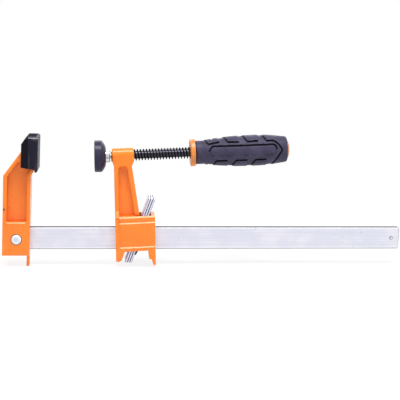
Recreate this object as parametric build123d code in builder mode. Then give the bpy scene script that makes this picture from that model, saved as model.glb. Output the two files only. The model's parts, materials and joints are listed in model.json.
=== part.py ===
"""Bar clamp: a fixed jaw riveted to a flat steel bar, and a sliding head with a clamping screw.

Sizes are in millimetres and angles in degrees. The origin is the centre of the fixed clamping face.
X runs along the bar towards its free end, Y runs to the back, and Z runs up from the bar to the screw.
"""

import math
import os

from build123d import *

# Bar
bar_height = 25.4
bar_thickness = 6.35
bar_length = 452.0
bar_corner_radius = 2.3
bar_edge_radius = 0.9
throat = 83.5  # from the top of the bar to the centre of the fixed clamping face
stop_inset = 9.2  # staked stop, from the free end of the bar
stop_radius = 2.1
stop_height = 0.8
stop_taper = 40.0

# Fixed jaw, in a frame that toes in towards the work
toe_in = 1.8
jaw_setback = 7.6  # from the clamping face back to the inner edge of the jaw
jaw_width = 30.0
jaw_depth = 23.0
jaw_end_wall = 4.3
jaw_sole = 5.7  # metal under the bar
jaw_ledge = 6.9  # from the top of the bar up to the floor of the pocket
jaw_shoulder = 25.5  # where the sloping back edge begins, below the centre of the face
jaw_slope = 55.3
jaw_flange = 4.3
jaw_web = 6.9
jaw_pocket_top = 10.4
jaw_pocket_radius = 1.85
jaw_edge_radius = 1.05
jaw_rim_slope = 1.1  # sloping rim round the mouth of the pocket
nose_seat = 3.1  # from the clamping face back to the front of the nose
nose_root = 24.8
nose_underside = 17.3
nose_top = 15.6
spur_drop = 13.2
spur_thickness = 3.0
spur_depth = 10.4
bar_fit = 0.05  # between the bar and the fixed jaw

# Rivet
rivet_inset = 11.2  # from the hidden end of the bar
rivet_radius = 3.7
rivet_head_radius = 5.4
rivet_proud = 0.6
rivet_shoulder = 1.0  # width of the sloping shoulder of the rivet head
rivet_well_radius = 6.3
rivet_well_depth = 0.9
rivet_dimple_radius = 2.55
rivet_dimple_depth = 0.6
rivet_fit = 0.05

# Fixed pad
pad_half_width = 19.6
pad_top = 20.0
pad_lip = 19.4  # how far the lip hangs below the centre of the face
pad_bottom_front = 16.6
pad_bottom_back = 15.2
pad_length = 18.5
pad_crown = 12.3
pad_shoulder = 10.6
pad_side_length = 10.4  # straight part of the cheeks
pad_back_half_width = 15.5
pad_round = 1.85
pad_roof_round = 2.8
pad_fit = 0.1

# Sliding head, in a frame that leans on the bar by the slack of its slot
head_lean = 2.8
head_position = 106.2  # along the bar from the fixed face
head_draft = 1.2
head_front = 21.0
head_back = 23.7
head_depth = 33.0
box_top = 26.8
box_top_slope = 1.7  # sloping edge along the top of the box
panel_top = 20.1
panel_bottom = 7.4
panel_recess = 1.3
band_recess = 2.5
front_flange = 4.5
slot_clearance = 0.35
slot_side_clearance = 0.4
head_edge_radius = 0.9

# Feet under the box
arch_height = 12.5
arch_front = 11.1
arch_back = 15.5
front_foot_drop = 24.1
front_foot_tip = 6.2
front_foot_rise = 1.8
back_foot_drop = 30.4
back_foot_tip = 2.7
back_foot_rise = 1.4
back_foot_notch_drop = 22.8
back_foot_notch = 4.7
back_foot_step = 22.2
back_foot_width = 7.5

# Arm and boss
screw_height = 94.7  # of the screw's axis above the middle of the bar
boss_radius = 8.6
boss_front = 20.8
boss_back = 3.5
boss_chamfer = 0.9
boss_skirt = 6.0  # below the screw's axis, where the boss begins to narrow to the arm
arm_depth = 17.0
arm_edge_radius = 1.6
arm_top_width = 20.0
arm_foot = 7.2
arm_web = 6.9
arm_front_flange = 4.9
arm_back_flange = 5.6
arm_pocket_top = 11.5  # below the screw's axis
arm_pocket_radius = 4.2
arm_rim_slope = 0.9  # sloping rim round the mouth of the pocket
rim_angle = 45.0
shoulder_rise = 5.8  # of the front flange, where it widens from the arm to the box

# Clutch plates
plate_lean = 19.5
plate_position = 109.0
plate_thickness = 2.4
plate_gap = 0.08
plate_width = 23.0
plate_rise = 50.3
plate_drop = 28.5
plate_corner_radius = 1.4
plate_edge_break = 0.45
window_clearance = 0.35
window_side_clearance = 0.5
clutch_slot_front = 6.9
clutch_slot_back = 20.0
clutch_slot_foot = 8.2
clutch_side_clearance = 0.6

# Clutch spring
spring_thickness = 1.2
spring_width = 6.8
spring_bar_clearance = 0.35
spring_tip_clearance = 0.35
spring_tip_drop = 19.5
spring_bend = 111.1
spring_bend_radius = 1.4
spring_end = 127.7
spring_seat_clearance = 0.05

# Screw
screw_radius = 6.35
screw_fit = 0.06
screw_end = 21.8
screw_chamfer = 0.7
tang_radius = 4.6
tang_length = 39.3
tang_fit = 0.04

# Ball tip and swivel
ball_radius = 4.6
ball_position = 30.0  # in front of the bar's place in the head
ball_fit = 0.08
neck_radius = 2.9
neck_fit = 0.06
neck_depth = 11.5
swivel_lean = 1.0  # the swivel hangs on the ball a little straighter than the screw
socket_radius = 7.0
socket_end = 7.0  # these lengths run from the middle of the ball
socket_chamfer = 0.9
socket_mouth = 3.0
socket_flare = 4.5
disc_radius = 14.1
disc_front = 8.8
disc_back = 5.8
cap_face = 10.4
cap_radius = 17.8
cap_rim = 2.6
cap_back = 2.4
cap_back_radius = 9.0
cap_round = 1.4
cap_fit = 0.05

# Handle
collar_start = 66.9
collar_radius = 15.4
collar_face_radius = 13.9
collar_nose = 0.9
collar_round = 1.8
collar_end = 72.2
core_radius = 9.8
grip_start = 72.3
grip_length = 104.1
grip_neck_length = 10.4
grip_neck_radius = 13.2
grip_radius = 17.5
grip_station_shares = (0.11, 0.213, 0.331, 0.439, 0.557, 0.754, 0.852, 0.921, 0.966, 0.99, 1.0)
grip_radius_shares = (0.795, 0.872, 0.938, 0.983, 1.0, 0.99, 0.94, 0.885, 0.855, 0.83, 0.8)
butt_radius = 13.6
butt_height = 3.9
grip_fit = 0.05

# Tread grooves of the grip, seen from the front; heights are over the screw's axis
tread_width = 2.0
tread_depth = 1.5
tread_wrap = 3.4  # how far the grooves run on over the crown of the grip
panel_depth = 0.45
panel_start = 87.0
panel_end = 163.4
panel_middle = 1.8
panel_half_height = 5.8
panel_point = 4.0
panel_round = 4.5
ell_corner = 86.6
ell_pitch = 21.9
ell_run = 4.4
ell_rise = 6.3
ell_length = 12.4
ell_corner_heights = (9.5, 11.5, 11.4)
ell_end_heights = (11.8, 11.3, 11.9)
under_ell_corner = 95.4
under_ell_height = 8.8
under_ell_count = 3
arrow_height = 11.5
arrow_shoulder = 159.9
arrow_bend = (165.9, 7.2)
arrow_tip = (169.9, 0.8)
arrow_tail = (158.8, -15.5)

# Length by which a cut runs past the metal
cut_overrun = 70.0

# Frames
toe = math.radians(toe_in)
lean = math.radians(head_lean)
tilt = math.radians(plate_lean)
draft = math.tan(math.radians(head_draft))
bar_level = -(throat + bar_height / 2)
bar_plane = Plane(origin=(0, 0, bar_level), x_dir=(1, 0, 0), z_dir=(0, -1, 0))
jaw_plane = Plane(origin=(0, 0, 0), x_dir=(math.cos(toe), 0, -math.sin(toe)), z_dir=(0, -1, 0))
head_plane = Plane(
    origin=(head_position, 0, bar_level), x_dir=(math.cos(lean), 0, math.sin(lean)), z_dir=(0, -1, 0)
)
screw_axis = Axis(head_plane.from_local_coords((0, screw_height, 0)), head_plane.x_dir)
swing = math.radians(swivel_lean)
ball_centre = head_plane.from_local_coords((-ball_position, screw_height, 0))
swivel_plane = Plane(origin=ball_centre, x_dir=(math.cos(swing), 0, math.sin(swing)), z_dir=(0, -1, 0))
swivel_axis = Axis(ball_centre, swivel_plane.x_dir)
bar_start = jaw_plane.from_local_coords((-(jaw_setback + jaw_width), bar_level, 0)).X + jaw_end_wall
bar_end = bar_start + bar_length
rivet_position = bar_start + rivet_inset


def at_level(across, level):
    """Point of the jaw's frame at a distance across it and a height in the bar's frame."""
    return (across, (level + across * math.sin(toe)) / math.cos(toe))


def front_edge(height):
    """Front edge of the head at a height over the middle of the bar."""
    return height * draft - head_front


def back_edge(height):
    """Back edge of the head at a height over the middle of the bar."""
    return height * draft + head_back


def around(radius):
    """Height of a point of a turned piece, from its radius about the screw's axis."""
    return screw_height + radius


# Staked stop: a small bump raised on the bar by a punch
with BuildPart() as stake:
    with BuildSketch(bar_plane.offset(bar_thickness / 2)):
        with Locations((bar_end - stop_inset, 0)):
            Circle(stop_radius)
    extrude(amount=stop_height, taper=stop_taper)

# Flat bar with rounded edges, a rivet hole and the stop on both sides
with BuildPart() as bar:
    with BuildSketch(bar_plane) as bar_outline:
        with Locations((bar_start + bar_length / 2, 0)):
            Rectangle(bar_length, bar_height)
        fillet(bar_outline.vertices().group_by(Axis.X)[-1], bar_corner_radius)
    extrude(amount=bar_thickness / 2, both=True)
    fillet(bar.faces().filter_by(Axis.Y).edges(), bar_edge_radius)
    with BuildSketch(bar_plane):
        with Locations((rivet_position, 0)):
            Circle(rivet_radius + rivet_fit)
    extrude(amount=bar_thickness, both=True, mode=Mode.SUBTRACT)
    add(stake.part)
    mirror(stake.part, about=Plane.XZ)

# Outline of the fixed jaw, from the sole up to the nose
jaw_inner = -jaw_setback
jaw_outer = -(jaw_setback + jaw_width)
sole_level = bar_level - bar_height / 2 - jaw_sole
ledge_level = bar_level + bar_height / 2 + jaw_ledge
nose_back = jaw_outer + (nose_top + jaw_shoulder) / math.tan(math.radians(jaw_slope))
with BuildSketch(jaw_plane) as jaw_outline:
    with BuildLine():
        Polyline(
            at_level(jaw_outer, sole_level),
            at_level(jaw_inner, sole_level),
            (jaw_inner, -nose_root),
            (-nose_seat, -nose_underside),
            (-nose_seat, nose_top),
            (nose_back, nose_top),
            (jaw_outer, -jaw_shoulder),
            close=True,
        )
    make_face()

# Pocket between the flanges, above the ledge over the bar
with BuildSketch(jaw_plane) as jaw_pocket:
    add(jaw_outline.sketch_local)
    offset(amount=-jaw_flange, kind=Kind.INTERSECTION, mode=Mode.REPLACE)
    with BuildLine():
        Polyline(
            at_level(jaw_outer, ledge_level),
            at_level(0, ledge_level),
            (0, -jaw_pocket_top),
            (jaw_outer, -jaw_pocket_top),
            close=True,
        )
    make_face(mode=Mode.INTERSECT)
    fillet(jaw_pocket.vertices(), jaw_pocket_radius)

# Fixed jaw: a casting with a web between flanges, a slot for the bar and a thin foot
with BuildPart() as fixed_jaw:
    extrude(jaw_outline.sketch, amount=jaw_depth / 2, both=True)
    fillet(fixed_jaw.faces().filter_by(Axis.Y).edges(), jaw_edge_radius)
    with BuildSketch(jaw_plane):
        with BuildLine():
            Polyline(
                at_level(jaw_inner, sole_level + jaw_sole),
                at_level(jaw_inner, sole_level - spur_drop),
                at_level(jaw_inner - spur_thickness, sole_level - spur_drop),
                at_level(jaw_inner - spur_thickness, sole_level + jaw_sole),
                close=True,
            )
        make_face()
    extrude(amount=spur_depth / 2, both=True)
    extrude(jaw_pocket.sketch, amount=jaw_depth, both=True, mode=Mode.SUBTRACT)
    jaw_sides = fixed_jaw.faces().filter_by(Axis.Y).sort_by(Axis.Y)
    front_rim = jaw_sides[0].inner_wires()[0].edges()
    back_rim = jaw_sides[-1].inner_wires()[0].edges()
    chamfer(front_rim + back_rim, jaw_rim_slope)
    extrude(jaw_pocket.sketch, amount=jaw_web / 2, both=True)
    with BuildSketch(bar_plane):
        with Locations((bar_start - bar_fit, 0)):
            Rectangle(cut_overrun, bar_height + 2 * bar_fit, align=(Align.MIN, Align.CENTER))
    extrude(amount=bar_thickness / 2 + bar_fit, both=True, mode=Mode.SUBTRACT)
    with BuildSketch(bar_plane):
        with Locations((rivet_position, 0)):
            Circle(rivet_radius + rivet_fit)
    extrude(amount=jaw_depth, both=True, mode=Mode.SUBTRACT)
    for side in (1, -1):
        with BuildSketch(bar_plane.offset(side * (jaw_depth / 2 - rivet_well_depth))):
            with Locations((rivet_position, 0)):
                Circle(rivet_well_radius)
        extrude(amount=side * cut_overrun, mode=Mode.SUBTRACT)

# Rivet with a dimpled head in a shallow well on each side
with BuildPart() as jaw_rivet:
    with BuildSketch(bar_plane):
        with Locations((rivet_position, 0)):
            Circle(rivet_radius)
    extrude(amount=jaw_depth / 2 - rivet_well_depth, both=True)
    for side in (1, -1):
        with BuildSketch(bar_plane.offset(side * (jaw_depth / 2 - rivet_well_depth))):
            with Locations((rivet_position, 0)):
                Circle(rivet_head_radius)
        extrude(amount=side * (rivet_well_depth + rivet_proud))
    rivet_ends = jaw_rivet.faces().filter_by(Axis.Y).sort_by(Axis.Y)
    chamfer(rivet_ends[0].edges() + rivet_ends[-1].edges(), rivet_proud, rivet_shoulder)
    for side in (1, -1):
        with BuildSketch(bar_plane.offset(side * (jaw_depth / 2 + rivet_proud - rivet_dimple_depth))):
            with Locations((rivet_position, 0)):
                Circle(rivet_dimple_radius)
        extrude(amount=side * cut_overrun, mode=Mode.SUBTRACT)

# Fixed pad: a moulded cap that slips over the nose, with cheeks that taper to the back
pad_plan = Plane(origin=(0, 0, 0), x_dir=jaw_plane.x_dir, z_dir=jaw_plane.y_dir)
with BuildPart() as fixed_pad:
    with BuildSketch(jaw_plane):
        with BuildLine():
            Polyline(
                (-nose_seat, -pad_lip),
                (0, -pad_lip),
                (0, pad_top),
                (-pad_crown, pad_top),
                (-pad_length, pad_shoulder),
                (-pad_length, -pad_bottom_back),
                (-nose_seat, -pad_bottom_front),
                close=True,
            )
        make_face()
    extrude(amount=pad_half_width, both=True)
    with BuildSketch(pad_plan):
        with BuildLine():
            Polyline(
                (0, -pad_half_width),
                (0, pad_half_width),
                (-pad_side_length, pad_half_width),
                (-pad_length, pad_back_half_width),
                (-pad_length, -pad_back_half_width),
                (-pad_side_length, -pad_half_width),
                close=True,
            )
        make_face()
    extrude(amount=cut_overrun, both=True, mode=Mode.INTERSECT)
    pad_roof = fixed_pad.faces().sort_by(Axis.Z)[-1]
    fillet(pad_roof.edges(), pad_roof_round)
    pad_face = fixed_pad.faces().sort_by(Axis.X)[-1]
    fillet(pad_face.edges().sort_by(Axis.Z)[:-1], pad_round)
    with BuildSketch(jaw_plane):
        add(jaw_outline.sketch_local)
        offset(amount=pad_fit, kind=Kind.INTERSECTION, mode=Mode.REPLACE)
    extrude(amount=jaw_depth / 2 + pad_fit, both=True, mode=Mode.SUBTRACT)

# Cross-section frames of the head, square to the screw
def head_section(along):
    """Plane across the head at a distance along the screw's direction; its x runs to the back."""
    return Plane(
        origin=head_plane.from_local_coords((along, 0, 0)), x_dir=(0, 1, 0), z_dir=head_plane.x_dir
    )


# Sliding jaw: boss, arm with a web, box around the bar and the clutch, and two feet
arm_top = screw_height - arm_pocket_top
box_half_depth = head_depth / 2
slot_half_height = (
    bar_height / 2 * math.cos(lean) + back_edge(box_top) * math.sin(lean) + slot_clearance
)
with BuildPart() as arm:
    with BuildSketch(head_plane):
        with BuildLine():
            Polyline(
                (-boss_front, screw_height),
                (-boss_front, around(-boss_skirt)),
                (front_edge(arm_top), arm_top),
                (front_edge(box_top), box_top),
                (arm_foot, box_top),
                (front_edge(arm_top) + arm_top_width, arm_top),
                (boss_back, around(-boss_skirt)),
                (boss_back, screw_height),
                close=True,
            )
        make_face()
    extrude(amount=arm_depth / 2, both=True)
    fillet(arm.faces().filter_by(Axis.Y).edges(), arm_edge_radius)

with BuildPart() as box:
    with BuildSketch(head_plane):
        with BuildLine():
            Polyline(
                (front_edge(box_top), box_top),
                (back_edge(box_top), box_top),
                (back_edge(-back_foot_drop), back_foot_rise - back_foot_drop),
                (back_edge(-back_foot_drop) - back_foot_tip / 2, -back_foot_drop),
                (back_edge(-back_foot_drop) - back_foot_tip, back_foot_rise - back_foot_drop),
                (back_edge(-back_foot_notch_drop) - back_foot_notch, -back_foot_notch_drop),
                (back_edge(-back_foot_step) - back_foot_width, -back_foot_step),
                (arch_back, -arch_height),
                (-arch_front, -arch_height),
                (front_edge(-front_foot_drop) + front_foot_tip, front_foot_rise - front_foot_drop),
                (front_edge(-front_foot_drop) + front_foot_tip / 2, -front_foot_drop),
                (front_edge(-front_foot_drop), front_foot_rise / 2 - front_foot_drop),
                close=True,
            )
        make_face()
    extrude(amount=box_half_depth, both=True)
    fillet(box.faces().filter_by(Axis.Y).edges(), head_edge_radius)

# Pocket of the arm, and the sloping rim of its mouth on one side
with BuildSketch(head_plane) as arm_pocket:
    with BuildLine():
        Polyline(
            (front_edge(box_top) + arm_front_flange, box_top),
            (front_edge(arm_top) + arm_front_flange, arm_top),
            (front_edge(arm_top) + arm_top_width - arm_back_flange, arm_top),
            (arm_foot - arm_back_flange, box_top),
            close=True,
        )
    make_face()
    fillet(arm_pocket.vertices().group_by(Axis.Y)[-1], arm_pocket_radius)

with BuildPart() as arm_rim:
    with BuildSketch(head_plane.offset(arm_depth / 2 - arm_rim_slope)):
        add(arm_pocket.sketch_local)
    extrude(amount=arm_rim_slope, taper=-rim_angle)

with BuildPart() as sliding_jaw:
    with BuildSketch(head_plane):
        with BuildLine():
            Polyline(
                (-boss_front, screw_height),
                (-boss_front, around(boss_radius - boss_chamfer)),
                (boss_chamfer - boss_front, around(boss_radius)),
                (boss_back - boss_chamfer, around(boss_radius)),
                (boss_back, around(boss_radius - boss_chamfer)),
                (boss_back, screw_height),
                close=True,
            )
        make_face()
    revolve(axis=screw_axis)
    add(arm.part)
    extrude(arm_pocket.sketch, amount=arm_depth, both=True, mode=Mode.SUBTRACT)
    add(arm_rim.part, mode=Mode.SUBTRACT)
    mirror(arm_rim.part, about=Plane.XZ, mode=Mode.SUBTRACT)
    extrude(arm_pocket.sketch, amount=arm_web / 2, both=True)
    add(box.part)
    with BuildSketch(head_section(front_edge(box_top + shoulder_rise))):
        with BuildLine():
            Polyline(
                (-box_half_depth, box_top),
                (box_half_depth, box_top),
                (arm_depth / 2, box_top + shoulder_rise),
                (-arm_depth / 2, box_top + shoulder_rise),
                close=True,
            )
        make_face()
    extrude(amount=front_flange)
    for side in (1, -1):
        with BuildSketch(head_section(front_edge(0) + front_flange)):
            with BuildLine():
                Polyline(
                    (side * box_half_depth, -panel_bottom - panel_recess),
                    (side * (box_half_depth - panel_recess), -panel_bottom),
                    (side * (box_half_depth - panel_recess), panel_top + panel_recess - band_recess),
                    (side * (box_half_depth - band_recess), panel_top),
                    (side * (box_half_depth - band_recess), box_top - box_top_slope),
                    (side * (box_half_depth - band_recess - box_top_slope), box_top),
                    (side * cut_overrun, box_top),
                    (side * cut_overrun, -panel_bottom - panel_recess),
                    close=True,
                )
            make_face()
        extrude(amount=cut_overrun, mode=Mode.SUBTRACT)
    with BuildSketch(head_plane):
        with BuildLine():
            Polyline(
                (-clutch_slot_foot, -arch_height),
                (clutch_slot_front, box_top),
                (clutch_slot_back, box_top),
                (arch_back, -arch_height),
                close=True,
            )
        make_face()
    extrude(amount=plate_width / 2 + clutch_side_clearance, both=True, mode=Mode.SUBTRACT)
    with BuildSketch(head_plane):
        Rectangle(2 * cut_overrun, 2 * slot_half_height)
    extrude(amount=bar_thickness / 2 + slot_side_clearance, both=True, mode=Mode.SUBTRACT)
    with BuildSketch(bar_plane):
        with Locations((spring_end + spring_bar_clearance, -bar_height / 2)):
            Rectangle(
                spring_end - spring_bend,
                spring_bar_clearance + spring_thickness + spring_seat_clearance,
                align=(Align.MAX, Align.MAX),
            )
    extrude(amount=bar_thickness / 2 + slot_side_clearance, both=True, mode=Mode.SUBTRACT)
    with BuildSketch(head_section(-cut_overrun)):
        with Locations((0, screw_height)):
            Circle(screw_radius + screw_fit)
    extrude(amount=2 * cut_overrun, mode=Mode.SUBTRACT)

# Clutch plates: three alike, side by side on the bar, leaning until they bite
plate_pitch = (plate_thickness + plate_gap) / math.cos(tilt)
window_height = (bar_height + 2 * window_clearance + plate_thickness * math.sin(tilt)) / math.cos(tilt)
clutch_plates = []
for place in (-1, 0, 1):
    plate_plane = Plane(
        origin=(plate_position + place * plate_pitch, 0, bar_level),
        x_dir=(0, 1, 0),
        z_dir=(math.cos(tilt), 0, -math.sin(tilt)),
    )
    with BuildPart() as clutch_plate:
        with BuildSketch(plate_plane) as plate_outline:
            with Locations((0, -plate_drop)):
                Rectangle(plate_width, plate_drop + plate_rise, align=(Align.CENTER, Align.MIN))
            fillet(plate_outline.vertices(), plate_corner_radius)
            Rectangle(bar_thickness + 2 * window_side_clearance, window_height, mode=Mode.SUBTRACT)
        extrude(amount=plate_thickness / 2, both=True)
        plate_faces = clutch_plate.faces().sort_by(Axis(plate_plane.origin, plate_plane.z_dir))
        plate_rims = plate_faces[0].outer_wire().edges() + plate_faces[-1].outer_wire().edges()
        chamfer(plate_rims, plate_edge_break)
    clutch_plates.append(clutch_plate)

# Clutch spring: a leaf that lies under the bar and bends down to push on the plates
spring_level = -(bar_height / 2 + spring_bar_clearance + spring_thickness / 2)
stack_face = plate_position + plate_pitch + plate_thickness / 2 / math.cos(tilt)
spring_tip = (
    stack_face
    - spring_tip_drop * math.tan(tilt)
    + spring_tip_clearance / math.cos(tilt)
    + spring_thickness
)
with BuildPart() as clutch_spring:
    with BuildSketch(bar_plane):
        with BuildLine():
            FilletPolyline(
                (spring_end, spring_level),
                (spring_bend, spring_level),
                (spring_tip, -spring_tip_drop),
                radius=spring_bend_radius,
            )
        trace(line_width=spring_thickness)
    extrude(amount=spring_width / 2, both=True)

# Screw with a bore for the ball tip and a tang inside the handle
with BuildPart() as screw:
    with BuildSketch(head_plane):
        with BuildLine():
            Polyline(
                (-screw_end, around(neck_radius + neck_fit)),
                (-screw_end, around(screw_radius - screw_chamfer)),
                (screw_chamfer - screw_end, around(screw_radius)),
                (collar_end, around(screw_radius)),
                (collar_end, around(tang_radius)),
                (collar_end + tang_length, around(tang_radius)),
                (collar_end + tang_length, screw_height),
                (neck_depth - screw_end, screw_height),
                (neck_depth - screw_end, around(neck_radius + neck_fit)),
                close=True,
            )
        make_face()
    revolve(axis=screw_axis)

# Ball tip: a ball on a stud that sits in the screw's end
ball_shoulder = math.sqrt(ball_radius**2 - neck_radius**2)
with BuildPart() as ball_tip:
    with BuildSketch(head_plane):
        with BuildLine():
            Polyline(
                (-ball_position - ball_radius, screw_height),
                (neck_depth - screw_end - neck_fit, screw_height),
                (neck_depth - screw_end - neck_fit, around(neck_radius)),
                (ball_shoulder - ball_position, around(neck_radius)),
            )
            ThreePointArc(
                (ball_shoulder - ball_position, around(neck_radius)),
                (-ball_position, around(ball_radius)),
                (-ball_position - ball_radius, screw_height),
            )
        make_face()
    revolve(axis=screw_axis)

# Swivel socket: a steel disc with a stem that closes over the ball
cavity_radius = ball_radius + ball_fit
mouth_radius = math.sqrt(cavity_radius**2 - socket_mouth**2)
with BuildPart() as swivel_socket:
    with BuildSketch(swivel_plane):
        with BuildLine():
            Polyline(
                (-cavity_radius, 0),
                (-disc_front, 0),
                (-disc_front, disc_radius),
                (-disc_back, disc_radius),
                (-disc_back, socket_radius),
                (socket_end - socket_chamfer, socket_radius),
                (socket_end, socket_radius - socket_chamfer),
                (socket_end, socket_flare),
                (socket_mouth, mouth_radius),
            )
            ThreePointArc((socket_mouth, mouth_radius), (0, cavity_radius), (-cavity_radius, 0))
        make_face()
    revolve(axis=swivel_axis)

# Pad cap: a moulded cap over the disc, flat in front and domed behind
with BuildPart() as pad_cap:
    with BuildSketch(swivel_plane):
        with BuildLine():
            Polyline((-disc_front - cap_fit, 0), (-cap_face, 0), (-cap_face, cap_radius - cap_round))
            RadiusArc((-cap_face, cap_radius - cap_round), (cap_round - cap_face, cap_radius), cap_round)
            Line((cap_round - cap_face, cap_radius), (-cap_rim, cap_radius))
            RadiusArc((-cap_rim, cap_radius), (cap_back, cap_back_radius), cap_radius)
            Polyline(
                (cap_back, cap_back_radius),
                (cap_back, socket_radius + cap_fit),
                (cap_fit - disc_back, socket_radius + cap_fit),
                (cap_fit - disc_back, disc_radius + cap_fit),
                (-disc_front - cap_fit, disc_radius + cap_fit),
                (-disc_front - cap_fit, 0),
            )
        make_face()
    revolve(axis=swivel_axis)

# Handle core: collar, stem inside the grip, and domed butt, moulded on the screw's tang
grip_end = grip_start + grip_length
butt_end = grip_end + butt_height
butt_sphere = (butt_radius**2 + butt_height**2) / (2 * butt_height)
with BuildPart() as handle_core:
    with BuildSketch(head_plane):
        with BuildLine():
            Line(
                (collar_start, around(screw_radius + tang_fit)), (collar_start, around(collar_face_radius))
            )
            RadiusArc(
                (collar_start, around(collar_face_radius)),
                (collar_start + collar_nose, around(collar_radius)),
                collar_round,
            )
            Polyline(
                (collar_start + collar_nose, around(collar_radius)),
                (collar_end, around(collar_radius)),
                (collar_end, around(core_radius)),
                (grip_end, around(core_radius)),
                (grip_end, around(butt_radius)),
            )
            RadiusArc((grip_end, around(butt_radius)), (butt_end, screw_height), butt_sphere)
            Polyline(
                (butt_end, screw_height),
                (collar_end + tang_length + tang_fit, screw_height),
                (collar_end + tang_length + tang_fit, around(tang_radius + tang_fit)),
                (collar_end + tang_fit, around(tang_radius + tang_fit)),
                (collar_end + tang_fit, around(screw_radius + tang_fit)),
                (collar_start, around(screw_radius + tang_fit)),
            )
        make_face()
    revolve(axis=screw_axis)


def neck_profile(inset):
    """Points along the plain neck of the grip, sunk below its surface by an inset."""
    return [
        (grip_start, around(grip_neck_radius - inset)),
        (grip_start + grip_neck_length, around(grip_neck_radius - inset)),
        barrel_profile(inset)[0],
    ]


def barrel_profile(inset):
    """Points along the swelling barrel of the grip, sunk below its surface by an inset."""
    return [
        (grip_start + station * grip_length, around(share * grip_radius - inset))
        for station, share in zip(grip_station_shares, grip_radius_shares)
    ]


# Tread grooves of one flank: bent grooves above and below, and one that turns round the end like an arrow
panel_top_edge = around(panel_middle + panel_half_height)
panel_low_edge = around(panel_middle - panel_half_height)
with BuildPart() as treads:
    with BuildSketch(head_plane.offset(-tread_wrap)):
        for row, (corner_height, end_height) in enumerate(zip(ell_corner_heights, ell_end_heights)):
            corner = ell_corner + row * ell_pitch
            with BuildLine():
                Polyline(
                    (corner - ell_run, around(corner_height + ell_rise)),
                    (corner, around(corner_height)),
                    (corner + ell_length, around(end_height)),
                )
            trace(line_width=tread_width)
        for row in range(under_ell_count):
            corner = under_ell_corner + row * ell_pitch
            with BuildLine():
                Polyline(
                    (corner - ell_run, around(-under_ell_height - ell_rise)),
                    (corner, around(-under_ell_height)),
                    (corner + ell_length, around(-under_ell_height)),
                )
            trace(line_width=tread_width)
        corner = ell_corner + len(ell_corner_heights) * ell_pitch
        with BuildLine():
            Polyline(
                (corner - ell_run, around(arrow_height + ell_rise)),
                (corner, around(arrow_height)),
                (arrow_shoulder, around(arrow_height)),
            )
            ThreePointArc(
                (arrow_shoulder, around(arrow_height)),
                (arrow_bend[0], around(arrow_bend[1])),
                (arrow_tip[0], around(arrow_tip[1])),
            )
            Line((arrow_tip[0], around(arrow_tip[1])), (arrow_tail[0], around(arrow_tail[1])))
        trace(line_width=tread_width)
        with BuildLine():
            FilletPolyline(
                (panel_start, around(panel_middle)),
                (panel_start + panel_point, panel_top_edge),
                (panel_end, panel_top_edge),
                (panel_end, around(panel_middle)),
                radius=panel_round,
            )
        trace(line_width=tread_width)
    extrude(amount=cut_overrun)
    with BuildSketch(head_plane):
        with BuildLine():
            Polyline(*neck_profile(tread_depth))
            Spline(*barrel_profile(tread_depth))
            Polyline(
                barrel_profile(tread_depth)[-1],
                (grip_end, screw_height),
                (grip_start, screw_height),
                neck_profile(tread_depth)[0],
            )
        make_face()
    revolve(axis=screw_axis, mode=Mode.SUBTRACT)

# Shallow panel between the grooves
with BuildPart() as panel:
    with BuildSketch(head_plane):
        with BuildLine():
            FilletPolyline(
                (panel_start, around(panel_middle)),
                (panel_start + panel_point, panel_top_edge),
                (panel_end, panel_top_edge),
                (panel_end, panel_low_edge),
                (panel_start + panel_point, panel_low_edge),
                radius=panel_round,
                close=True,
            )
        make_face()
    extrude(amount=cut_overrun)
    with BuildSketch(head_plane):
        with BuildLine():
            Polyline(*neck_profile(panel_depth))
            Spline(*barrel_profile(panel_depth))
            Polyline(
                barrel_profile(panel_depth)[-1],
                (grip_end, screw_height),
                (grip_start, screw_height),
                neck_profile(panel_depth)[0],
            )
        make_face()
    revolve(axis=screw_axis, mode=Mode.SUBTRACT)

# Handle grip: a soft barrel over the core, with the grooves and the panel on both flanks
with BuildPart() as handle_grip:
    with BuildSketch(head_plane):
        with BuildLine():
            Polyline(*neck_profile(0))
            Spline(*barrel_profile(0))
            Polyline(
                barrel_profile(0)[-1],
                (grip_end, around(core_radius + grip_fit)),
                (grip_start, around(core_radius + grip_fit)),
                neck_profile(0)[0],
            )
        make_face()
    revolve(axis=screw_axis)
    for half_turn in (0, 180):
        add(treads.part.rotate(screw_axis, half_turn), mode=Mode.SUBTRACT)
        add(panel.part.rotate(screw_axis, half_turn), mode=Mode.SUBTRACT)

# Named pieces
bar.part.label = "bar"
fixed_jaw.part.label = "fixed_jaw"
jaw_rivet.part.label = "jaw_rivet"
fixed_pad.part.label = "fixed_pad"
sliding_jaw.part.label = "sliding_jaw"
clutch_plates[0].part.label = "clutch_plate_1"
clutch_plates[1].part.label = "clutch_plate_2"
clutch_plates[2].part.label = "clutch_plate_3"
clutch_spring.part.label = "clutch_spring"
screw.part.label = "screw"
ball_tip.part.label = "ball_tip"
swivel_socket.part.label = "swivel_socket"
pad_cap.part.label = "pad_cap"
handle_core.part.label = "handle_core"
handle_grip.part.label = "handle_grip"

os.makedirs("parts", exist_ok=True)
export_step(bar.part, "parts/bar.step")
export_step(fixed_jaw.part, "parts/fixed_jaw.step")
export_step(jaw_rivet.part, "parts/jaw_rivet.step")
export_step(fixed_pad.part, "parts/fixed_pad.step")
export_step(sliding_jaw.part, "parts/sliding_jaw.step")
export_step(clutch_plates[0].part, "parts/clutch_plate_1.step")
export_step(clutch_plates[1].part, "parts/clutch_plate_2.step")
export_step(clutch_plates[2].part, "parts/clutch_plate_3.step")
export_step(clutch_spring.part, "parts/clutch_spring.step")
export_step(screw.part, "parts/screw.step")
export_step(ball_tip.part, "parts/ball_tip.step")
export_step(swivel_socket.part, "parts/swivel_socket.step")
export_step(pad_cap.part, "parts/pad_cap.step")
export_step(handle_core.part, "parts/handle_core.step")
export_step(handle_grip.part, "parts/handle_grip.step")

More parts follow.
